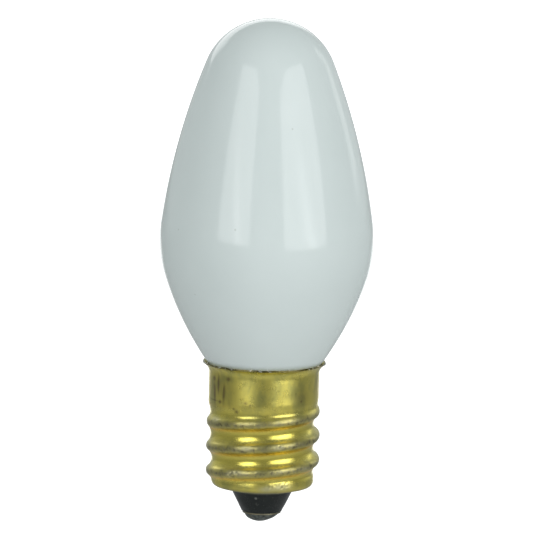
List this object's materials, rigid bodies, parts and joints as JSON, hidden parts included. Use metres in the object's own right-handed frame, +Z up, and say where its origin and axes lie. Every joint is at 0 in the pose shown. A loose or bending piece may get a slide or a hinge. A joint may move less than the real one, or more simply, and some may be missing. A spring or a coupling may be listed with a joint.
{
  "type": "christmas light bulb",
  "caption": "Opaque white candelabra-base Christmas bulb: a tapered, egg-shaped glass on a rolled brass screw cap with a black insulator and a solder contact.",
  "frame": {"origin": "the lowest point of the centre contact, on the axis of the screw cap", "axes": "+Z up along the bulb's axis from the contact to the crown of the glass; -Z is the way the bulb screws in; -Y faces the picture's camera and +Y holds the solder at the rim"},
  "size_m": [0.022, 0.022, 0.052],
  "materials": {
    "white_glass": "glossy opaque white coating on glass",
    "brass_shell": "thin rolled sheet, dulled and stained",
    "black_glass": "glossy black glass with fine scratches",
    "brass_eyelet": "browned by soldering",
    "solder": "dull grey solder",
    "lead_wire": "drawn wire",
    "cement": "matt basing cement"
  },
  "bodies": {
    "root": {"glass_envelope": "white_glass", "screw_shell": "brass_shell", "insulator": "black_glass", "contact_eyelet": "brass_eyelet", "solder_tip": "solder", "centre_lead": "lead_wire", "side_lead": "lead_wire", "basing_cement": "cement", "side_solder": "solder"}
  },
  "joints": []
}
